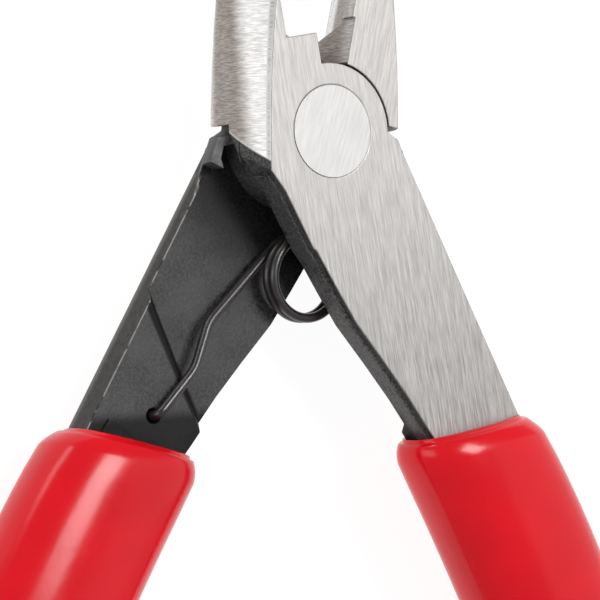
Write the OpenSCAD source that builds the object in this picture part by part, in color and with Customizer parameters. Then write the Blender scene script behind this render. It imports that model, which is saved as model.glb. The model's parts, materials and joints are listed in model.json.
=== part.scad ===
// Flush cutter: two forged halves that cross in a lap joint, turn on one rivet and are sprung open.
// The tool lies flat. +Z is the pivot axis, +Y points to the jaw tips, Z = 0 is the head's back face,
// and the origin is on the pivot axis. It is drawn at rest, with the jaws open against their stop.
// Each module that draws half of the tool draws the front one. The rear one is the same piece turned
// half round about the tool's long axis.

/* [Head] */
// Thickness of the head, from its back face to its front face
head_t = 8; // [7.8:0.1:8.2]
// Distance from the pivot to the jaw tips
jaw_reach = 23; // [21:0.5:25]
// Radius of the round lap face that each half turns on
lap_r = 5.5; // [5.3:0.1:5.6]
// Radial clearance round the lap
lap_gap = 0.14; // [0.1:0.02:0.16]
// Clearance between the two lap faces
face_gap = 0.06; // [0.04:0.02:0.1]
// Angle that the halves turn through from open to closed
open_angle = 23; // [20:1:24]

/* [Jaws] */
// Height of the cutting edge above the head's back face
edge_z = 1.2; // [0.8:0.1:2]
// Width of the bevel where it meets the head's front face
bevel_w = 3; // [2.4:0.1:3.4]

/* [Rivet] */
// Diameter of the flush heads of the rivet
rivet_head_d = 7.5; // [7:0.1:7.8]
// Diameter of the rivet's shank
rivet_shank_d = 5; // [4.5:0.1:5.5]
// Depth of each conical rivet head
rivet_head_h = 1.2; // [1:0.1:1.5]

/* [Handles] */
// Thickness of the thin stretch of each handle at its inner edge
handle_t = 2.5; // [2.3:0.1:2.6]
// How much thinner that stretch is at its outer edge
handle_taper = 0.7; // [0.4:0.1:0.8]
// Width of the ledge along the handle's inner edge, just behind its front face
ledge_w = 0.3; // [0.2:0.05:0.35]
// Extra thickness of the handle beyond its slanted step
step_h = 1.1; // [0.9:0.1:1.2]
// Diameter of the hole for the spring's hooked end
hole_d = 1.25; // [1.1:0.05:1.4]

/* [Grips] */
// Length of each grip along its curve
grip_length = 78; // [74:1:82]
// Greatest width of each grip
grip_w = 13.5; // [13:0.1:14]
// Greatest thickness of each grip
grip_t = 8.8; // [8.6:0.1:9.2]
// Where the front sleeve's rim lies along the grip's curve
front_rim = -1; // [-1.2:0.1:0.8]
// Where the rear sleeve's rim lies, a little further from the pivot
rear_rim = 0.6; // [-1.2:0.1:0.8]
// Radius of the grip's long curve
grip_curve_r = 148; // [140:1:170]

/* [Spring] */
// Diameter of the spring wire
wire_d = 0.8; // [0.7:0.05:0.8]
// Mean radius of the spring's coil
coil_r = 3.35; // [3.2:0.05:3.4]

/* [Hidden] */
$fn = 96;
big = 60;                        // longer than any cut through the tool
over = 1;                        // how far a cut runs past a surface
half_open = open_angle / 2;
mid_z = head_t / 2;
lap_z = mid_z + face_gap / 2;    // underside of the front half's lap
uncut_t = head_t + over;         // height of the blocks before the front face is ground flat

// head and jaws
head_low = -10;                  // the ground shape of the head reaches this far below the pivot
head_shift = 0.45;               // its axis is this far behind the middle at the pivot
head_tilt = atan(head_shift / jaw_reach);
tip_r = 0.7;                     // radius of the blunt tip
tip_len = 0.4;
edge_from = lap_r + 4;           // where the cutting edges start
edge_relief = 0.3;               // gap between the closed halves below the cutting edges
bevel_end_lean = 24;             // lean of the slope at the bevel's end
pad_r = 6.4;                     // round pad that carries the lap face
ridge_drop = 0.4;                // the shoulder ridge stops this far in front of the lap face
cheek_from = -0.2;               // the cheek's slope starts at this height
cheek_lean = 30;
bore_gap = 0.04;                 // radial clearance of the rivet

// handle
shoulder = [6.4, -0.35];         // outer corner of the handle's root
outer_lean = 29.5;               // lean of the handle's straight outer edge from the long axis
plate_len = 32;                  // length of that edge
foot_w = 7;                      // width of the handle's foot
foot_inner = [10.9, -25.4];
taper_w = 9;                     // width that the handle's taper is measured over
step_from = [13.9, -13.1];       // the slanted step, from the outer edge to the inner edge
step_to = [9.15, -23.3];
step_run = 1.5;                  // width of the step's slope
ledge_drop = 0.6;                // depth of the ledge below the front face
ledge_way = -[cos(outer_lean), sin(outer_lean)];
hole_at = [13.8, -22.9];
hole_skin = 0.9;                 // steel left in front of the blind hole

// grip
rim_mid = [14.9, -24.5];         // start of the grip's curve
rim_skew = 21;                   // the rim is square to the closed tool, not to the handle
skew_run = 16;                   // the skew dies out over this length
grip_lean = 33;                  // lean of the handle at the rim
grip_drop = 0.55;                // the grip's middle is this far behind the middle of the thin stretch
grip_z = head_t - handle_t / 2 - grip_drop;
grip_sides = 28;                 // points in one ring of the grip's skin
grip_power = 0.84;               // 1 gives an oval section, less gives a squarer one
tail_taper = 0.13;               // how much slimmer the grip's far end is
lip_taper = 0.16;                // how much slimmer its rim is
lip_len = 1.5;                   // length of its rounded rim
cap_len = 6;                     // length of its rounded end
core_w = 6.6;                    // steel core inside the grip
core_t = 3.2;
core_gap = 0.06;                 // clearance of the vinyl round the steel
pocket_depth = 2.2;              // the handle's pocket reaches this far behind the grip's middle

// spring
coil_at = [0, -11.6];
leave_at = 46.2;                 // where the front leg leaves the coil
coil_turns = 2.5 - leave_at / 180;
coil_steps = 24;                 // points in half of the coil
coil_gap = 0.1;                  // room between the coil and each handle
leg_bends = [[8.8, -15.4], [10.4, -19.2]];
leg_z = mid_z + 0.05;            // the leg clears the raised part of the handle
leg_way = (hole_at - leg_bends[1]) / norm(hole_at - leg_bends[1]);
hook = [[-0.6, 0], [-0.18, 0.12], [-0.01, 0.55], [0.02, 2.8]];  // the wire's end, along the leg and up
wire_sides = 8;

// Unit vector at a lean from straight down, to the right
function down(lean) = [sin(lean), -cos(lean)];
// Radius that the closed head is ground to, at a height y above the pivot
function head_r(y) = 7.5 - 0.16 * y - 0.0026 * y * y;

// Turns a piece of the front half into the same piece of the rear half
module turned() translate([0, 0, head_t]) rotate([0, 180, 0]) children();

// Straight block over an outline, from one height to another
module slab(low, high) translate([0, 0, low]) linear_extrude(high - low) children();

// Closed skin over a row of rings that all have the same number of points
module skin(rings) {
    n = len(rings[0]);
    last = len(rings) - 1;
    sides = [for (j = [0:last - 1]) for (i = [0:n - 1]) let (k = (i + 1) % n)
        [j * n + i, j * n + k, (j + 1) * n + k, (j + 1) * n + i]];
    ends = [[for (i = [n - 1:-1:0]) i], [for (i = [0:n - 1]) last * n + i]];
    polyhedron([for (r = rings) each r], concat(sides, ends), convexity = 8);
}

// ---- head and jaw ----

// The round-sided shape that the closed head is ground to
module head_round() {
    high = jaw_reach - tip_len;
    profile = [for (i = [0:10]) let (y = head_low + (high - head_low) * i / 10) [head_r(y), y]];
    translate([0, 0, mid_z - head_shift]) rotate([head_tilt - 90, 0, 0])
        rotate_extrude() polygon(concat([[0, head_low]], profile, [[tip_r, jaw_reach], [0, jaw_reach]]));
}

// Wedge that leaves the cutting edge on the plane between the closed jaws
module jaw_bevel() {
    rise = head_t - edge_z;
    tall = 2;                    // the wedge is made this many times taller than the jaw needs
    difference() {
        translate([0, 0, edge_z]) rotate([-90, 0, 0]) linear_extrude(big)
            polygon([[0, 0], [over, 0], [over, -rise * tall], [-bevel_w * tall, -rise * tall]]);
        // its end slopes down to the start of the cutting edge
        translate([-big / 2, edge_from, edge_z]) rotate([bevel_end_lean, 0, 0]) translate([0, -big, -big / 2])
            cube(big);
    }
}

// The jaw with the jaws closed, above the root
module jaw_closed() {
    difference() {
        intersection() {
            head_round();
            translate([-big, 0, 0]) cube([big - 0.02, big, uncut_t]);
        }
        jaw_bevel();
        translate([-edge_relief, 0, -over]) cube([edge_relief + over, edge_from, head_t + 2 * over]);
    }
}

// Front layer of the jaw, beyond the lap
module jaw_front() {
    intersection() {
        rotate([0, 0, half_open]) jaw_closed();
        slab(lap_z, uncut_t) polygon([[0, 0], [-big, -3], [-big, big], [big, big], [big, lap_r], [0, lap_r]]);
    }
}

// Rear layer of the jaw, outside the other half's lap
module jaw_rear() {
    intersection() {
        rotate([0, 0, half_open]) jaw_closed();
        slab(0, lap_z + over) polygon([[0, 0], [-5, 0.75], [-6.7, 0.42], [-big, -3], [-big, big], [0, big]]);
    }
}

// ---- root and handle ----

// Block round the pivot that joins jaw, lap and handle
module root_block() {
    rotate([0, 0, half_open]) intersection() {
        head_round();
        slab(0, uncut_t)
            polygon([[0, 0], [0, 8], [-9, 8], [-9, -0.3], [-7.3, -0.9], [-6.3, -2.4], [-5.4, -4], [-3.6, -9],
                     [5.5, -14], [9, -10.5], [9, -2.6], [6.2, -1.64], [5.2, -0.65]]);
    }
}

// Hooked ridge that stands between the lap and the root's outer corner
module shoulder_ridge() {
    polygon([[6.1, 0], [9.5, -1], [9.5, -2.3], [7.45, -3.1], [7.75, -2.3], [7.5, -1.3], [6.3, -1]]);
}

// Visible steel handle from the root to just inside the grip
module handle_outline() {
    foot = shoulder + plate_len * down(outer_lean);
    polygon([[0, -1], [5.2, -0.4], shoulder, foot, foot - foot_w * down(90 + outer_lean),
             foot_inner, [7.7, -21.3], [5.2, -18.4], [2.5, -15.4], [0.6, -12.7], [-1.3, -9.9],
             [-3.3, -6.8], [-5, -4]]);
}

// Everything in front of the handle's back surface, lowered by a depth
module in_front_of_back(depth) {
    across = atan(handle_taper / taper_w);
    translate([shoulder.x, shoulder.y, head_t - handle_t + handle_taper - depth])
        rotate([0, 0, outer_lean]) rotate([0, -across, 0])
            translate([-big, -big, 0]) cube([2 * big, 2 * big, big]);
}

// Everything on the grip's side of the slanted step, under its slope
module beyond_step() {
    along = atan2(step_to.y - step_from.y, step_to.x - step_from.x);
    translate([step_from.x, step_from.y, head_t - handle_t]) rotate([0, 0, along])
        rotate([atan2(step_h, step_run), 0, 0]) translate([-big, 0, -big / 2]) cube([2 * big, big, big]);
}

// Everything in front of a slope that runs from the lap face to the root's back surface
module cheek() {
    intersection() {
        slab(lap_z, uncut_t) polygon([[-5, 1], [-9, 1], [-9, -3], [-5, -3]]);
        translate([0, cheek_from, lap_z]) rotate([-cheek_lean, 0, 0]) translate([-big, -big, 0])
            cube(2 * big);
    }
}

// Root, lap and visible handle in one layer, thicker at the pad, the cheek, the ridge and beyond the step
module front_layer() {
    intersection() {
        union() {
            root_block();
            slab(0, uncut_t) handle_outline();
            // the ledge along the handle and the root
            slab(0, head_t - ledge_drop) translate(ledge_w * ledge_way) handle_outline();
            slab(0, head_t - ledge_drop) translate(ledge_w * ledge_way)
                polygon([[0, -4], [-5.69, -3.61], [-4.49, -5], [-1.73, -9.54], [1, -12.7]]);
        }
        union() {
            in_front_of_back(0);
            cheek();
            slab(lap_z, uncut_t) circle(pad_r);
            slab(lap_z + ridge_drop, uncut_t) shoulder_ridge();
            intersection() {
                in_front_of_back(step_h);
                beyond_step();
            }
        }
    }
    slab(lap_z, uncut_t) circle(lap_r);
}

// ---- grip ----

function grip_turn(s) = grip_lean - s * 180 / (PI * grip_curve_r);
function grip_at(s) = rim_mid + grip_curve_r * (down(grip_lean - 90) - down(grip_turn(s) - 90));

// Curved bar along the grip's centre line
module grip_band(width, from, to) {
    stops = [for (i = [0:16]) from + (to - from) * i / 16];
    function side(s, off) = grip_at(s) + off * down(grip_turn(s) + 90);
    polygon(concat([for (s = stops) side(s, width / 2)],
                   [for (i = [16:-1:0]) side(stops[i], -width / 2)]));
}

// Steel core under the vinyl, with a clearance added to it
module core(grow) {
    slab(grip_z - core_t / 2 - grow, grip_z + core_t / 2 + grow)
        grip_band(core_w + 2 * grow, 0.5, grip_length - cap_len - 1 + grow);
}

// Share of the grip's full size at a distance s along its curve
function grip_swell(s, rim) =
    let (lip = max(0, 1 - (s - rim) / lip_len), cap = max(0, (s - grip_length + cap_len) / cap_len),
         tail = pow(max(0, s) / grip_length, 1.5))
    (1 - tail_taper * tail - lip_taper * lip * lip) * sqrt(max(0, 1 - cap * cap));

function power(x) = sign(x) * pow(abs(x), grip_power);

// One ring of the grip's skin
function grip_ring(s, rim) =
    let (size = grip_swell(s, rim), skew = rim_skew * min(1, max(0, 1 - s / skew_run)),
         across = down(grip_turn(s) + 90 - skew), c = grip_at(s))
    [for (i = [0:grip_sides - 1]) let (a = 360 * i / grip_sides,
        u = grip_w / 2 * size * power(cos(a)), v = grip_t / 2 * size * power(sin(a)))
        [c.x + u * across.x, c.y + u * across.y, grip_z + v]];

module grip_skin(rim) {
    lip_end = rim + lip_len;
    body_len = grip_length - cap_len - lip_end;
    stops = concat([rim, rim + 0.4, rim + 0.9, lip_end], [for (i = [1:15]) lip_end + body_len * i / 15],
                   [for (a = [20:20:80]) grip_length - cap_len + cap_len * sin(a)], [grip_length - 0.02]);
    skin([for (s = stops) grip_ring(s, rim)]);
}

module grip(rim) {
    difference() {
        grip_skin(rim);
        core(core_gap);
        slab(grip_z - pocket_depth, head_t + core_gap) plate_pocket();
    }
}

// Room in the grip for the end of the visible handle
module plate_pocket() {
    foot = shoulder + (plate_len + core_gap) * down(outer_lean);
    polygon([foot - core_gap * ledge_way, foot + (foot_w + ledge_w + core_gap) * ledge_way,
             foot_inner + ledge_w * ledge_way - [0.1, 0.05], [5 - ledge_w, -21],
             shoulder + 20 * down(outer_lean) - core_gap * ledge_way]);
}

// ---- spring ----

// Round wire along a path that never runs straight up
module tube(path) {
    last = len(path) - 1;
    function dir(i) = let (d = path[min(last, i + 1)] - path[max(0, i - 1)]) d / norm(d);
    skin([for (i = [0:last])
        let (d = dir(i), side = cross([0, 0, 1], d), u = side / norm(side), v = cross(d, u))
        [for (k = [wire_sides - 1:-1:0]) let (a = 360 * k / wire_sides)
            path[i] + wire_d / 2 * (cos(a) * u + sin(a) * v)]]);
}

// ---- pieces ----

module half() {
    difference() {
        intersection() {
            union() {
                front_layer();
                core(0);
                jaw_front();
                jaw_rear();
            }
            translate([-2 * big, -2 * big, 0]) cube([4 * big, 4 * big, head_t]);
        }
        // room for the other half's lap
        translate([0, 0, -over]) cylinder(r = lap_r + lap_gap, h = lap_z + over);
        translate([0, 0, -over]) cylinder(d = rivet_shank_d + 2 * bore_gap, h = head_t + 2 * over);
        rivet_seat(bore_gap);
        translate([hole_at.x, hole_at.y, 0]) cylinder(d = hole_d, h = head_t - hole_skin);
    }
}

// Conical seat for one rivet head in the front face
module rivet_seat(grow) {
    translate([0, 0, head_t - rivet_head_h])
        cylinder(r1 = rivet_shank_d / 2 + grow, r2 = rivet_head_d / 2 + grow, h = rivet_head_h);
}

module front_half() color("silver") half();
module rear_half() color("dimgray") turned() half();

module pivot_rivet() color("gainsboro") {
    cylinder(d = rivet_shank_d, h = head_t);
    rivet_seat(0);
    turned() rivet_seat(0);
}

// Centre line from the middle of the coil to the spring's end on the front half
function spring_side() =
    let (top_z = head_t - handle_t - wire_d / 2 - coil_gap)
    concat([for (i = [0:coil_steps - 1])
               let (t = i / (coil_steps - 1), a = leave_at + coil_turns * 180 * (1 - t))
               [coil_at.x + coil_r * cos(a), coil_at.y + coil_r * sin(a), mid_z + (top_z - mid_z) * t]],
           [[leg_bends[0].x, leg_bends[0].y, (top_z + leg_z) / 2], [leg_bends[1].x, leg_bends[1].y, leg_z]],
           [for (p = hook) let (q = hole_at + p.x * leg_way) [q.x, q.y, leg_z + p.y]]);

module torsion_spring() color("black") {
    front = spring_side();
    rear = [for (i = [len(front) - 1:-1:1]) [-front[i].x, front[i].y, head_t - front[i].z]];
    tube(concat(rear, front));
}

module front_grip() color("crimson") grip(front_rim);
module rear_grip() color("crimson") turned() grip(rear_rim);

front_half();
rear_half();
pivot_rivet();
torsion_spring();
front_grip();
rear_grip();
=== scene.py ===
"""Flush cutter, lying flat on a pale floor, seen as in a close-up of its joint.

The two steel halves and the rivet are welded, bevelled copies of the CAD ones.
The vinyl grips and the spring are new smooth meshes in the places of the plain CAD ones.
Sizes are in millimetres, in the frame of part.scad: the pivot is at (0, 0) and the head lies
between z = 0 and z = HEAD_T. The rear pieces are the front ones turned half round about Y.
"""
import json
import math

import bmesh
import bpy
from mathutils import Matrix, Vector

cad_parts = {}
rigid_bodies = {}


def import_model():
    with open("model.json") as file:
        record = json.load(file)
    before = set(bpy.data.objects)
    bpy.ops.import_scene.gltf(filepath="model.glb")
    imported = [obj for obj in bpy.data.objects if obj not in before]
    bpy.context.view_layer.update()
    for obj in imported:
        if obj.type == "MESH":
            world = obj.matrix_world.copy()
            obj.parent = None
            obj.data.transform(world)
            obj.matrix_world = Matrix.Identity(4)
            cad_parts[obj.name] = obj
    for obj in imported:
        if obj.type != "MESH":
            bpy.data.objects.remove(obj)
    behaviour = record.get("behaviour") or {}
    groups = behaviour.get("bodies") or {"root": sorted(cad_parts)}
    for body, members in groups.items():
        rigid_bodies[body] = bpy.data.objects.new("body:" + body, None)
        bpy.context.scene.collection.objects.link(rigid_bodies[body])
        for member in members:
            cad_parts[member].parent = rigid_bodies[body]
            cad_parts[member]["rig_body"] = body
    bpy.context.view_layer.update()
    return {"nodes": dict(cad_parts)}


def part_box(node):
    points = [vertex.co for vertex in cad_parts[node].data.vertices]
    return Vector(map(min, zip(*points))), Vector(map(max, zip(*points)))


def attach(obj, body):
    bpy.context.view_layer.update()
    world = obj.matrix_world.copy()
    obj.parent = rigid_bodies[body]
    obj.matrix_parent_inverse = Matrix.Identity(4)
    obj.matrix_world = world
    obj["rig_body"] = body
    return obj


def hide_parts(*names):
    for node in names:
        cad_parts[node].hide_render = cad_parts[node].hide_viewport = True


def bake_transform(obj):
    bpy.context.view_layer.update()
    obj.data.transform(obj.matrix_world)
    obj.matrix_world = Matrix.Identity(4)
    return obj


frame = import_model()
MM = 0.001

# sizes shared with part.scad
HEAD_T = 8
HALF_OPEN = 11.5
LAP_R = 5.5
LAP_Z = 4.03
RIDGE_DROP = 0.4
SHOULDER = (6.4, -0.35)
OUTER_LEAN = 29.5
HANDLE_T = 2.5
HANDLE_TAPER = 0.7
TAPER_W = 9
LEDGE_DROP = 0.6
STEP_H = 1.1
STEP_RUN = 1.5
STEP_FROM = (13.9, -13.1)
STEP_TO = (9.15, -23.3)
GRIP_LENGTH = 78
GRIP_W = 13.5
GRIP_T = 8.8
GRIP_Z = 6.2
GRIP_CURVE_R = 148
GRIP_LEAN = 33
GRIP_POWER = 0.84
TAIL_TAPER = 0.13
CAP_LEN = 6
FRONT_RIM = -1
REAR_RIM = 0.6
RIM_MID = (14.9, -24.5)
RIM_SKEW = 21
SKEW_RUN = 16
WIRE_D = 0.8
COIL_R = 3.35
COIL_AT = (0, -11.6)
LEAVE_AT = 46.2
COIL_TURNS = 2.5 - LEAVE_AT / 180
COIL_TOP = 5.0
LEG_BENDS = ((8.8, -15.4), (10.4, -19.2))
LEG_Z = 4.05
HOLE_AT = (13.8, -22.9)

# where the ground steel ends, in the front half's frame. A pair is where a mask starts and where it is full.
# The head's left side is ground above a border that slants up from the outer face, then runs level
FACE_SKIN = (0.1, 0.04)
JAW_Y = (LAP_R + 0.1, LAP_R + 0.2)
SIDE_X = (-3.0, -3.2)
BORDER_Y = 2.34
BORDER_SLOPE = 0.62
BORDER_TOP = 0.25
BORDER_EDGE = (0.02, 0.1)
# painted highlight: a thin pale line along the side's border
BORDER_GLINT = (0.14, 0.04)
RAGGED = 0.12

# where the ground steel is dimmer on the face, duller and warmer on the side as a painted reflection, and
# darker in a line beside the face
DIM_Y = (2.0, -24.0)
SIDE_REFLECTION_Z = (HEAD_T - 1.0, HEAD_T - 2.8)
SIDE_REFLECTION_TILT = 0.1
SIDE_REFLECTION_FAR_Z = (0.2, 2.2)
LINE_FROM_Z = (HEAD_T - 0.45, HEAD_T - 0.3)
LINE_TO_Z = (HEAD_T - 0.05, HEAD_T - 0.15)

# where the black oxide changes, and where light and shade are painted on it: EDGE is measured outwards from
# the handle's outer edge
BACK_SKIN = (0.1, 0.03)
OUTER_EDGE = (-0.14, -0.04)
OUTER_Y = (-3.2, -3.6)
PALE_Z = (HEAD_T - 1.0, HEAD_T)
# painted highlight on the top of the shoulder's ridge
RIDGE_HIGHLIGHT_SKIN = (0.12, 0.06)
RIDGE_HIGHLIGHT_X = (5.8, 6.0)
RIDGE_HIGHLIGHT_Y = (-3.3, -3.1)
INNER_EDGE = (-6.2, -6.4)
# painted light: the inner wall lighter further down the handle
INNER_LIGHT_Y = (-8.0, -16.0)
INNER_Z = (HEAD_T - LEDGE_DROP + 0.1, HEAD_T - LEDGE_DROP)
# painted shade round the joint, on the step's slope and just above the grip
JOINT_SHADE_REACH = (15.0, 8.0)
SLOPE_SHADE_MID = 0.3
SLOPE_SHADE_REACH = (0.75, 0.45)
FOOT_SHADE_Y = (-21.4, -22.6)
FOOT_SHADE_TILT = 0.06
FOOT_SHADE_Z = (HEAD_T - 1.5, HEAD_T - 2.5)
WORN_EDGE = (-0.12, -0.07)
WORN_Y = (-3.5, -4.0)

# the stretch of a noise's values over which a colour or a roughness changes
WIDE = (0.3, 0.7)
NARROW = (0.35, 0.65)

# the steel pieces: how far apart points are welded, how flat whole faces are, and the broken edges
WELD_GAP = 0.002
FLAT_ANGLE = 0.4
HALF_BEVEL = 0.09
RIVET_BEVEL = 0.05
SHARP_ANGLE = 24

# the sleeve: its rolled lip, which is rounder than the plain CAD one, its open mouth, and its closed tip
SLEEVE_FIT = 0.997
LIP_TAPER = 0.19
LIP_LEN = 2.6
LIP_BACK = 0.42
LIP_ROLL = 0.38
LIP_STEPS = 8
LIP_STOPS = (0.45, 0.8, 1.2, 1.6)
MOUTH_HALF_W = 4.95
MOUTH_HALF_T = 2.1
MOUTH_POWER = 0.5
MOUTH_DEPTH = 3.0
MOUTH_STOPS = (1.6, 0.8)
BODY_FROM = 2.1
BODY_STEPS = 28
CAP_STEP = 6
TIP_GAP = 0.02
TIP_HALF_W = 0.12
TIP_HALF_T = 0.08
RING_POINTS = 72

# the wire, and the hook at its end: how far past the hole's middle, and how far from LEG_Z into the plate
WIRE_FIT = 0.995
WIRE_SIDES = 16
HALF_COIL_POINTS = 72
LEG_BEND_R = 0.7
BEND_STEPS = 3
POINT_GAP = 0.02
HOOK = ((-0.6, 0.0), (-0.18, 0.12), (-0.01, 0.55), (0.02, 2.8))

# the camera: its place and aim in metres, its roll in degrees, and its lens and sensor in millimetres
EYE = Vector((-171.6, -21.6, 251.9)) * MM
AIM = Vector((-3.09, -13.62, 8)) * MM
ROLL = 0.35
LENS = 223.4
SENSOR_W = 36

# where the lights point, and the side of the floor, in metres
LIGHTS_AIM = Vector((0, -20, 4)) * MM
FLOOR_SIZE = 4


# ---- node helpers ----

class Finish:
    """One material's nodes. An input given as a socket is linked, and any other value is set."""

    def __init__(self, name):
        self.mat = bpy.data.materials.new(name)
        self.mat.use_nodes = True
        self.tree = self.mat.node_tree
        self.shader = self.tree.nodes["Principled BSDF"]
        self.place = self.tree.nodes.new("ShaderNodeTexCoord").outputs["Object"]

    def put(self, node, inputs):
        for key, value in inputs.items():
            if isinstance(value, bpy.types.NodeSocket):
                self.tree.links.new(value, node.inputs[key])
            else:
                node.inputs[key].default_value = value

    def add(self, kind, inputs, output=0, **settings):
        node = self.tree.nodes.new("ShaderNode" + kind)
        for key, value in settings.items():
            setattr(node, key, value)
        self.put(node, inputs)
        return node.outputs[output]

    def plus(self, a, b):
        return self.add("Math", {0: a, 1: b}, operation="ADD")

    def minus(self, a, b):
        return self.add("Math", {0: a, 1: b}, operation="SUBTRACT")

    def times(self, a, b):
        return self.add("Math", {0: a, 1: b}, operation="MULTIPLY")

    def least(self, a, b):
        return self.add("Math", {0: a, 1: b}, operation="MINIMUM")

    def most(self, a, b):
        return self.add("Math", {0: a, 1: b}, operation="MAXIMUM")

    def absolute(self, a):
        return self.add("Math", {0: a}, operation="ABSOLUTE")

    def without(self, a, b):
        """Mask a where mask b is 0."""
        return self.times(a, self.minus(1.0, b))

    def step(self, value, low, high, to_low=0.0, to_high=1.0):
        """Smooth rise from to_low to to_high while value goes from low to high."""
        return self.add("MapRange", {"Value": value, "From Min": low, "From Max": high, "To Min": to_low,
                                     "To Max": to_high}, interpolation_type="SMOOTHSTEP")

    def moved(self, vector, scale=(1, 1, 1), at=(0, 0, 0), turn=0.0):
        """A vector scaled, turned about Z by an angle in degrees, then moved."""
        return self.add("Mapping", {"Vector": vector, "Scale": scale, "Location": at,
                                    "Rotation": (0, 0, math.radians(turn))})

    def place_mm(self):
        return self.moved(self.place, scale=(1 / MM,) * 3)

    def noise(self, vector, scale, detail=2.0, rough=0.5, seed=0.0):
        return self.add("TexNoise", {"Vector": vector, "Scale": scale, "Detail": detail, "Roughness": rough,
                                     "W": seed}, noise_dimensions="4D")

    def mix_value(self, factor, a, b):
        """Number a where factor is 0, and b where it is 1."""
        return self.add("Mix", {0: factor, 2: a, 3: b}, data_type="FLOAT")

    def mix(self, factor, a, b):
        """Colour a where factor is 0, and b where it is 1."""
        node = self.tree.nodes.new("ShaderNodeMix")
        node.data_type = "RGBA"
        sockets = [s for s in node.inputs if s.type == "RGBA"]
        for socket, value in ((node.inputs[0], factor), (sockets[0], a), (sockets[1], b)):
            if isinstance(value, bpy.types.NodeSocket):
                self.tree.links.new(value, socket)
            else:
                socket.default_value = value
        return [s for s in node.outputs if s.type == "RGBA"][0]

    def bump(self, height, strength, distance, normal=None):
        inputs = {"Height": height, "Strength": strength, "Distance": distance * MM}
        if normal is not None:
            inputs["Normal"] = normal
        return self.add("Bump", inputs)


class HalfFinish(Finish):
    """Nodes of a half, with points in millimetres in the frame of the front half, for either half."""

    def __init__(self, name, rear):
        super().__init__(name)
        side = -1 if rear else 1
        self.point = self.moved(self.place, scale=(side / MM, 1 / MM, side / MM),
                                at=(0, 0, HEAD_T if rear else 0))
        split = self.tree.nodes.new("ShaderNodeSeparateXYZ")
        self.put(split, {0: self.point})
        self.x, self.y, self.z = split.outputs

        # how far a point is outside the handle's outer edge, and how far past the line of its step
        lean = math.radians(OUTER_LEAN)
        step_way = Vector((STEP_FROM[1] - STEP_TO[1], STEP_TO[0] - STEP_FROM[0])).normalized()
        self.edge = self.beyond(SHOULDER, (math.cos(lean), math.sin(lean)))
        self.past = self.beyond(STEP_FROM, step_way)

    def beyond(self, start, way):
        """Distance from a start in the direction of a way in the XY plane."""
        return self.plus(self.times(self.minus(self.x, start[0]), way[0]),
                         self.times(self.minus(self.y, start[1]), way[1]))


def grey(level, warmth=0.0):
    """A linear colour of one level, a little warmer than neutral when warmth is above 0."""
    return (level * (1 + warmth), level, level * (1 - warmth), 1)


# ---- the finish of a half ----

def ground_area(f):
    """Masks of the outer faces, of all the ground steel, and of the thin rim along the side's border, where
    a highlight is painted.
    """
    face = f.most(f.step(f.z, HEAD_T - FACE_SKIN[0], HEAD_T - FACE_SKIN[1]), f.step(f.z, *FACE_SKIN))
    jaw = f.step(f.y, *JAW_Y)
    slant = f.minus(BORDER_Y, f.times(f.z, BORDER_SLOPE))
    above = f.minus(f.y, f.least(slant, BORDER_TOP))
    ragged = f.times(f.noise(f.point, 3.0, detail=4.0, seed=1.0), RAGGED)
    left = f.step(f.x, *SIDE_X)
    side = f.times(f.step(f.plus(above, ragged), *BORDER_EDGE), left)
    ground = f.most(face, f.most(jaw, side))
    rim = f.without(f.times(f.step(f.absolute(above), *BORDER_GLINT), left), face)
    return face, ground, rim


def brush_marks(f, face):
    """Marks round the head, and these with the marks along the half's own length on its face."""
    own = f.moved(f.point, turn=-HALF_OPEN)
    along = f.noise(f.moved(own, scale=(5.0, 0.22, 1)), 1.0, detail=3.0, rough=0.6, seed=2.0)
    along_fine = f.noise(f.moved(own, scale=(15, 0.7, 1)), 1.0, detail=2.0, seed=3.0)
    around = f.noise(f.moved(f.point, scale=(0.9, 12, 1.1)), 1.0, detail=3.0, rough=0.65, seed=4.0)
    on_face = f.plus(f.times(along, 0.55), f.times(along_fine, 0.45))
    return around, f.mix_value(face, around, on_face)


def ground_colour(f, face, around, marks):
    """Brushed steel: the face is dimmer towards the grip, and the head's side is brighter as a painted
    highlight.
    """
    dim = f.step(f.y, *DIM_Y)
    low = f.mix(dim, grey(0.41, 0.03), grey(0.26, 0.03))
    high = f.mix(dim, grey(0.56, 0.03), grey(0.50, 0.03))
    # painted highlight: the head's side much brighter than the face
    low = f.mix(face, grey(0.62, 0.02), low)
    high = f.mix(face, grey(0.98, 0.01), high)
    bright = f.mix(f.step(marks, *WIDE), low, high)

    # painted reflection: duller and warmer lower on the side; and a dark line beside the face
    side_reflection = f.without(f.step(f.plus(f.z, f.times(f.y, SIDE_REFLECTION_TILT)), *SIDE_REFLECTION_Z), face)
    side_reflection = f.times(side_reflection, f.step(f.z, *SIDE_REFLECTION_FAR_Z, 0.3, 1.0))
    warm_reflection = f.mix(f.step(around, *NARROW), (0.26, 0.225, 0.205, 1), (0.44, 0.395, 0.365, 1))
    bright = f.mix(side_reflection, bright, warm_reflection)
    line = f.times(f.step(f.z, *LINE_FROM_Z), f.step(f.z, *LINE_TO_Z))
    return f.mix(f.times(line, f.step(around, *NARROW)), bright, grey(0.42))


def back_area(f):
    """Mask of the handle's back surface: it rises to the outer edge, where the plate is thinnest, and
    drops again past the slanted step."""
    high = f.plus(f.times(f.edge, HANDLE_TAPER / TAPER_W), HEAD_T - HANDLE_T + HANDLE_TAPER)
    slope = f.minus(HEAD_T - HANDLE_T, f.times(f.past, STEP_RUN / STEP_H))
    surface = f.most(f.minus(high, STEP_H), f.least(high, slope))
    return f.step(f.absolute(f.minus(f.z, surface)), *BACK_SKIN)


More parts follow.
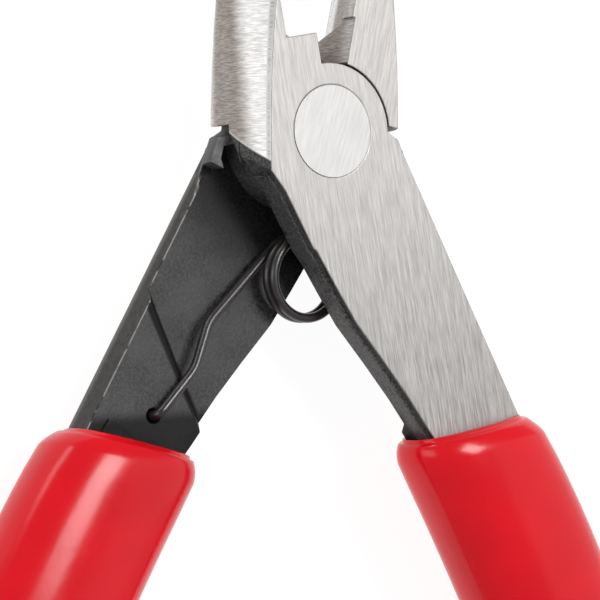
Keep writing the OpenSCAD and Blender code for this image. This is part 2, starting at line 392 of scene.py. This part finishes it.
def oxide_colour(f, grain, pits, on_back, on_outer):
    """Mottled, granular black oxide, and how it differs on the forged walls, with a painted highlight on the
    ridge and painted light down the inner wall.
    """
    cloud = f.noise(f.point, 0.45, detail=3.0, seed=5.0)
    black = f.mix(f.step(cloud, *NARROW), grey(0.013, 0.02), grey(0.036, -0.02))
    black = f.mix(f.times(f.step(grain, 0.44, 0.60), 0.7), black, grey(0.095, 0.02))

    # brown on the outer wall, and lighter towards the face
    brown = f.mix(f.step(pits, 0.35, 0.7), (0.006, 0.005, 0.004, 1), (0.030, 0.024, 0.020, 1))
    brown = f.mix(f.step(f.z, *PALE_Z), brown, (0.17, 0.15, 0.135, 1))
    black = f.mix(f.times(on_outer, 0.85), black, brown)

    # painted highlight: neutral and lighter on the top of the shoulder's ridge
    ridge_highlight = f.step(f.absolute(f.minus(f.z, LAP_Z + RIDGE_DROP)), *RIDGE_HIGHLIGHT_SKIN)
    ridge_highlight = f.times(f.times(ridge_highlight, f.step(f.y, *RIDGE_HIGHLIGHT_Y)), f.step(f.x, *RIDGE_HIGHLIGHT_X))
    black = f.mix(ridge_highlight, black, f.mix(f.step(pits, *WIDE), grey(0.10), grey(0.19)))

    # lighter, granular forging below the ledge of the inner wall, with painted light that grows further down
    # the handle
    inner_wall_and_light = f.times(f.step(f.edge, *INNER_EDGE), f.step(f.z, *INNER_Z))
    inner_wall_and_light = f.times(f.without(inner_wall_and_light, on_back), f.step(f.y, *INNER_LIGHT_Y, 0.15, 0.8))
    return f.mix(f.times(inner_wall_and_light, f.step(grain, 0.40, 0.60)), black, grey(0.13, 0.03))


def painted_shade_area(f, on_back, on_outer):
    """Mask of painted shade on the black oxide: round the joint, on the step's slope and just above the
    grip.
    """
    reach = f.add("VectorMath", {0: f.moved(f.point, scale=(1, 1, 0))}, output=1, operation="LENGTH")
    joint_shade = f.times(f.step(reach, *JOINT_SHADE_REACH), 0.75)
    slope_shade = f.times(f.step(f.absolute(f.minus(f.past, SLOPE_SHADE_MID)), *SLOPE_SHADE_REACH), 0.9)
    foot_shade = f.times(f.step(f.plus(f.y, f.times(f.x, FOOT_SHADE_TILT)), *FOOT_SHADE_Y), 0.8)
    foot_shade = f.times(foot_shade, f.step(f.z, *FOOT_SHADE_Z))
    return f.most(f.times(on_back, f.most(joint_shade, slope_shade)), f.without(foot_shade, on_outer))


def worn_area(f, on_back):
    """Mask of the thin bright line where the outer edge of the back surface has worn."""
    worn = f.times(f.step(f.edge, *WORN_EDGE), on_back)
    worn = f.times(worn, f.step(f.noise(f.point, 1.1, detail=4.0, seed=8.0), 0.38, 0.50))
    return f.times(worn, f.step(f.y, *WORN_Y))


def half_steel(name, rear):
    """Ground, brushed steel on the outer face and the head, and black oxide on the rest of the forging."""
    f = HalfFinish(name, rear)
    grain = f.noise(f.point, 5.0, detail=4.0, rough=0.65, seed=6.0)
    pits = f.noise(f.point, 1.7, detail=3.0, seed=7.0)
    face, ground, rim = ground_area(f)
    around, marks = brush_marks(f, face)
    on_back = back_area(f)
    on_outer = f.times(f.step(f.edge, *OUTER_EDGE), f.step(f.y, *OUTER_Y))
    painted_shade = painted_shade_area(f, on_back, on_outer)
    worn = worn_area(f, on_back)

    # painted shade: near black round the joint, on the step's slope and just above the grip
    black = f.mix(painted_shade, oxide_colour(f, grain, pits, on_back, on_outer), grey(0.004))
    black = f.mix(worn, black, grey(0.26, 0.02))
    colour = f.mix(ground, black, ground_colour(f, face, around, marks))
    # painted highlight: a pale line along the side's border
    colour = f.mix(f.times(rim, 0.5), colour, grey(0.8, 0.02))
    metal = f.most(ground, worn)
    black_rough = f.step(grain, *NARROW, 0.42, 0.66)
    metal_rough = f.step(marks, *WIDE, 0.60, 0.50)
    height = f.mix_value(ground, f.plus(f.times(grain, 0.6), pits), marks)
    f.put(f.shader, {
        "Base Color": colour,
        "Metallic": metal,
        "Roughness": f.mix_value(metal, black_rough, metal_rough),
        # the painted shade is also less glossy
        "Specular IOR Level": f.minus(0.26, f.times(painted_shade, 0.2)),
        "IOR": 1.6,
        "Normal": f.bump(height, 0.6, 0.035),
    })
    return f.mat


# ---- the other finishes ----

def rivet_steel():
    """Brighter than the plate, with its own brush marks that lean the other way."""
    f = Finish("rivet_steel")
    own = f.moved(f.place_mm(), turn=18)
    marks = f.noise(f.moved(own, scale=(4.5, 0.35, 1)), 1.0, detail=3.0, rough=0.6, seed=11.0)
    f.put(f.shader, {
        "Base Color": f.mix(f.step(marks, *WIDE), grey(0.55, 0.012), grey(0.61, 0.012)),
        "Metallic": 1.0,
        "Roughness": f.step(marks, *WIDE, 0.58, 0.52),
        "Normal": f.bump(marks, 0.15, 0.02),
    })
    return f.mat


def spring_wire():
    """Hard-drawn wire, blued nearly black and glossy, with faint draw marks."""
    f = Finish("spring_wire")
    marks = f.noise(f.place_mm(), 2.2, detail=4.0, rough=0.6, seed=21.0)
    f.put(f.shader, {
        "Base Color": f.mix(f.step(marks, *NARROW), (0.010, 0.009, 0.010, 1), (0.022, 0.016, 0.014, 1)),
        "Metallic": 0.0,
        "Roughness": f.step(marks, *WIDE, 0.27, 0.33),
        "IOR": 1.65,
        "Normal": f.bump(marks, 0.015, 0.02),
    })
    return f.mat


def grip_vinyl():
    """Glossy red dipped vinyl: saturated, slightly translucent, with a faint orange-peel surface."""
    f = Finish("grip_vinyl")
    place = f.place_mm()
    peel = f.noise(place, 0.55, detail=2.0, seed=31.0)
    fine = f.noise(place, 4.0, detail=3.0, seed=32.0)
    cloud = f.noise(place, 0.12, detail=2.0, seed=33.0)
    f.put(f.shader, {
        "Base Color": f.mix(f.step(cloud, *WIDE), (0.64, 0.001, 0.008, 1), (0.74, 0.001, 0.010, 1)),
        "Roughness": f.step(fine, *WIDE, 0.17, 0.23),
        "IOR": 1.5,
        "Specular IOR Level": 0.35,
        "Normal": f.bump(fine, 0.05, 0.02, f.bump(peel, 0.10, 0.12)),
        "Subsurface Weight": 0.05,
        "Subsurface Radius": (0.0012, 0.0003, 0.0003),
        "Subsurface Scale": 1.0,
    })
    return f.mat


def pale_floor():
    """A matt floor lit mostly from within, so that it stays nearly white and takes only a faint shadow."""
    f = Finish("floor")
    soft = f.noise(f.place, 3.0, detail=2.0, seed=41.0)
    f.put(f.shader, {
        "Base Color": f.mix(soft, grey(0.10), grey(0.14)),
        "Roughness": 0.9,
        "Specular IOR Level": 0.0,
        "Emission Color": f.mix(soft, grey(0.98), grey(1.0)),
        "Emission Strength": 0.95,
    })
    return f.mat


# ---- steel pieces ----

def add_object(name, data):
    """A new object of the scene."""
    new = bpy.data.objects.new(name, data)
    bpy.context.scene.collection.objects.link(new)
    return new


def steel_copy(node, finish, bevel_width):
    """A welded copy of a CAD node with its flat faces whole again and its sharp edges broken."""
    name = node + "_steel"
    mesh = bpy.data.meshes.new(name)
    bm = bmesh.new()
    bm.from_mesh(frame["nodes"][node].data)
    bmesh.ops.remove_doubles(bm, verts=bm.verts, dist=WELD_GAP * MM)
    bmesh.ops.dissolve_limit(bm, angle_limit=math.radians(FLAT_ANGLE), verts=bm.verts, edges=bm.edges)
    for face in bm.faces:
        face.smooth = True
        face.material_index = 0
    bm.to_mesh(mesh)
    bm.free()
    mesh.materials.clear()
    mesh.materials.append(finish)
    piece = add_object(name, mesh)
    bevel = piece.modifiers.new("edges", "BEVEL")
    bevel.width = bevel_width * MM
    bevel.segments = 2
    bevel.limit_method = "ANGLE"
    bevel.angle_limit = math.radians(SHARP_ANGLE)
    bevel.use_clamp_overlap = False
    weighted = piece.modifiers.new("flat faces", "WEIGHTED_NORMAL")
    weighted.mode = "FACE_AREA"
    weighted.weight = 100
    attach(piece, frame["nodes"][node]["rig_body"])
    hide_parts(node)


# ---- smooth pieces ----

def skin(name, rings, finish):
    """Closed quad skin over a row of rings, smooth shaded."""
    mesh = bpy.data.meshes.new(name)
    bm = bmesh.new()
    rows = [[bm.verts.new(Vector(p) * MM) for p in ring] for ring in rings]
    count = len(rows[0])
    for low, high in zip(rows, rows[1:]):
        for i in range(count):
            k = (i + 1) % count
            bm.faces.new((low[i], low[k], high[k], high[i]))
    bm.faces.new(rows[0][::-1])
    bm.faces.new(rows[-1])
    bmesh.ops.recalc_face_normals(bm, faces=bm.faces)
    for face in bm.faces:
        face.smooth = True
    bm.to_mesh(mesh)
    bm.free()
    mesh.materials.append(finish)
    return add_object(name, mesh)


def half_round(point, rear):
    """A point of a front piece, or the same point of the rear one."""
    x, y, z = point
    return (-x, y, HEAD_T - z) if rear else point


def down(lean):
    """Unit vector at a lean in degrees from straight down, to the right."""
    return Vector((math.sin(math.radians(lean)), -math.cos(math.radians(lean))))


def grip_turn(s):
    """Lean of the grip's centre line at a distance s along it."""
    return GRIP_LEAN - math.degrees(s / GRIP_CURVE_R)


def grip_at(s):
    """Point of the grip's centre line at a distance s along it."""
    return Vector(RIM_MID) + GRIP_CURVE_R * (down(GRIP_LEAN - 90) - down(grip_turn(s) - 90))


def grip_swell(s, rim):
    """Share of the grip's full size at a distance s along its curve."""
    lip = max(0, 1 - (s - rim) / LIP_LEN)
    cap = min(1, max(0, (s - GRIP_LENGTH + CAP_LEN) / CAP_LEN))
    body = 1 - TAIL_TAPER * (max(0, s) / GRIP_LENGTH) ** 1.5 - LIP_TAPER * lip * lip
    return body * math.sqrt(1 - cap * cap)


def signed_power(value, exponent):
    return math.copysign(abs(value) ** exponent, value)


def section(s, half_w, half_t, exponent):
    """One ring round the grip's centre line, square to the closed tool near the rim."""
    skew = RIM_SKEW * min(1, max(0, 1 - s / SKEW_RUN))
    across = down(grip_turn(s) + 90 - skew)
    centre = grip_at(s)
    ring = []
    for i in range(RING_POINTS):
        turn = 2 * math.pi * i / RING_POINTS
        u = half_w * signed_power(math.cos(turn), exponent)
        v = half_t * signed_power(math.sin(turn), exponent)
        ring.append((centre.x + u * across.x, centre.y + u * across.y, GRIP_Z + v))
    return ring


def mouth_rings(rim):
    """Rings from the floor of the sleeve's mouth up to the rim, then over the lip to the outside."""
    rings = [section(rim + MOUTH_DEPTH, 1.0, 0.5, 1.0)]
    rings.append(section(rim + MOUTH_DEPTH, MOUTH_HALF_W - 0.1, MOUTH_HALF_T - 0.05, MOUTH_POWER))
    for depth in MOUTH_STOPS:
        rings.append(section(rim + depth, MOUTH_HALF_W, MOUTH_HALF_T, MOUTH_POWER))
    size = grip_swell(rim, rim) * SLEEVE_FIT
    for i in range(LIP_STEPS + 1):
        t = i / LIP_STEPS
        half_w = MOUTH_HALF_W + (GRIP_W / 2 * size - MOUTH_HALF_W) * t
        half_t = MOUTH_HALF_T + (GRIP_T / 2 * size - MOUTH_HALF_T) * t
        exponent = MOUTH_POWER + (GRIP_POWER - MOUTH_POWER) * t
        roll = LIP_ROLL * math.sin(math.pi * t)
        rings.append(section(rim + LIP_BACK - roll, half_w, half_t, exponent))
    return rings


def body_rings(rim):
    """Rings of the sleeve's outside, from behind the lip to its full round end."""
    body_from = rim + BODY_FROM
    body_to = GRIP_LENGTH - CAP_LEN
    stops = [rim + stop for stop in LIP_STOPS] + [body_from]
    stops += [body_from + (body_to - body_from) * i / BODY_STEPS for i in range(1, BODY_STEPS + 1)]
    stops += [body_to + CAP_LEN * math.sin(math.radians(a)) for a in range(CAP_STEP, 90, CAP_STEP)]
    rings = []
    for s in stops:
        size = grip_swell(s, rim) * SLEEVE_FIT
        rings.append(section(s, GRIP_W / 2 * size, GRIP_T / 2 * size, GRIP_POWER))
    rings.append(section(GRIP_LENGTH - TIP_GAP, TIP_HALF_W, TIP_HALF_T, 1.0))
    return rings


def make_grip(node, rear, rim, finish):
    """Dipped vinyl sleeve: a full round end, a slow curve, and a rolled lip round an open mouth."""
    rings = [[half_round(p, rear) for p in ring] for ring in mouth_rings(rim) + body_rings(rim)]
    grip = skin(node + "_sleeve", rings, finish)
    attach(grip, frame["nodes"][node]["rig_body"])
    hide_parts(node)


def spring_side():
    """Centre line from the middle of the coil to the spring's end in the front half."""
    points = []
    turned = COIL_TURNS * 180
    mid = HEAD_T / 2
    for i in range(HALF_COIL_POINTS):
        t = i / (HALF_COIL_POINTS - 1)
        a = math.radians(LEAVE_AT + turned * (1 - t))
        points.append((COIL_AT[0] + COIL_R * math.cos(a), COIL_AT[1] + COIL_R * math.sin(a),
                       mid + (COIL_TOP - mid) * t))
    way = (Vector(HOLE_AT) - Vector(LEG_BENDS[1])).normalized()
    points.append((*LEG_BENDS[0], (COIL_TOP + LEG_Z) / 2))
    points.append((*LEG_BENDS[1], LEG_Z))
    for past_hole, up in HOOK:
        at = Vector(HOLE_AT) + past_hole * way
        points.append((at.x, at.y, LEG_Z + up))
    return points


def rounded(path, radius, steps):
    """The path with its corners replaced by short curves."""
    path = [Vector(p) for p in path]
    smooth = [path[0]]
    for before, corner, after in zip(path, path[1:], path[2:]):
        reach = min(radius, (corner - before).length / 2, (after - corner).length / 2)
        a = corner + (before - corner).normalized() * reach
        b = corner + (after - corner).normalized() * reach
        for i in range(steps + 1):
            t = i / steps
            smooth.append(a.lerp(corner, t).lerp(corner.lerp(b, t), t))
    smooth.append(path[-1])
    return smooth


def spaced(path, gap):
    """The path without points that are nearer than a gap to the one before."""
    kept = [path[0]]
    for point in path[1:]:
        if (point - kept[-1]).length > gap:
            kept.append(point)
    return kept


def tube_rings(path, radius, count):
    """Rings of a round wire along a path, with a frame carried along so that it doesn't twist."""
    rings = []
    side = Vector((0, 0, 1))
    for i, point in enumerate(path):
        ahead = (path[min(i + 1, len(path) - 1)] - path[max(i - 1, 0)]).normalized()
        side = (side - ahead * side.dot(ahead)).normalized()
        up = ahead.cross(side)
        ring = []
        for k in range(count):
            turn = 2 * math.pi * k / count
            ring.append(point + radius * (math.cos(turn) * side + math.sin(turn) * up))
        rings.append(ring)
    return rings


def make_spring(finish):
    """One wire: a leg from each handle's hole and the coil between the handles."""
    front = spring_side()
    rear = [half_round(p, True) for p in front[:0:-1]]
    path = spaced(rounded(rear + front, LEG_BEND_R, BEND_STEPS), POINT_GAP)
    rings = tube_rings(path, WIRE_D / 2 * WIRE_FIT, WIRE_SIDES)
    spring = skin("torsion_spring_wire", rings, finish)
    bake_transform(spring)
    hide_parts("torsion_spring")


# ---- camera, floor and light ----

def make_camera():
    """A long lens close to the joint, from the left of its front face. The tool's long axis is upright."""
    data = bpy.data.cameras.new("camera")
    data.lens = LENS
    data.sensor_width = SENSOR_W
    data.clip_start, data.clip_end = 0.01, 10
    cam = add_object("camera", data)
    ahead = (AIM - EYE).normalized()
    right = ahead.cross(Vector((0, 1, 0))).normalized()
    up = right.cross(ahead)
    turn = Matrix.Rotation(-math.radians(ROLL), 3, ahead)
    axes = Matrix((turn @ right, turn @ up, -ahead)).transposed()
    cam.matrix_world = Matrix.Translation(EYE) @ axes.to_4x4()
    bpy.context.scene.camera = cam


def make_floor():
    bpy.ops.mesh.primitive_plane_add(size=FLOOR_SIZE, location=(0, 0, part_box("rear_grip")[0].z))
    floor = bpy.context.object
    floor.name = "floor"
    floor.data.materials.append(pale_floor())


def area_light(name, way, distance, size, watts):
    """A rectangular soft light in a direction from the tool, facing it."""
    data = bpy.data.lights.new(name, "AREA")
    data.shape = "RECTANGLE"
    data.size, data.size_y = size
    data.energy = watts
    light = add_object(name, data)
    way = Vector(way).normalized()
    light.location = LIGHTS_AIM + way * distance
    light.rotation_mode = "QUATERNION"
    light.rotation_quaternion = (-way).to_track_quat("-Z", "Y")


def make_light():
    """Four soft boxes, in metres and watts, and an even white sky."""
    area_light("top_box", (0.18, 0.28, 0.94), 0.7, (0.26, 0.24), 2.7)
    area_light("left_wall", (-1.0, 0.05, 0.12), 0.8, (0.30, 0.9), 1.9)
    area_light("back_low", (-0.60, 0.79, 0.14), 0.8, (0.3, 0.16), 0.7)
    area_light("right_box", (0.85, 0.1, 0.5), 0.8, (0.6, 0.9), 0.85)
    world = bpy.data.worlds.new("world")
    bpy.context.scene.world = world
    world.use_nodes = True
    sky = world.node_tree.nodes["Background"]
    sky.inputs["Color"].default_value = (1, 1, 1, 1)
    sky.inputs["Strength"].default_value = 0.42


bpy.context.scene.view_settings.view_transform = "Standard"
make_camera()
make_floor()
make_light()

vinyl = grip_vinyl()
steel_copy("front_half", half_steel("front_brushed", False), HALF_BEVEL)
steel_copy("rear_half", half_steel("rear_brushed", True), HALF_BEVEL)
steel_copy("pivot_rivet", rivet_steel(), RIVET_BEVEL)
make_grip("front_grip", False, FRONT_RIM, vinyl)
make_grip("rear_grip", True, REAR_RIM, vinyl)
make_spring(spring_wire())
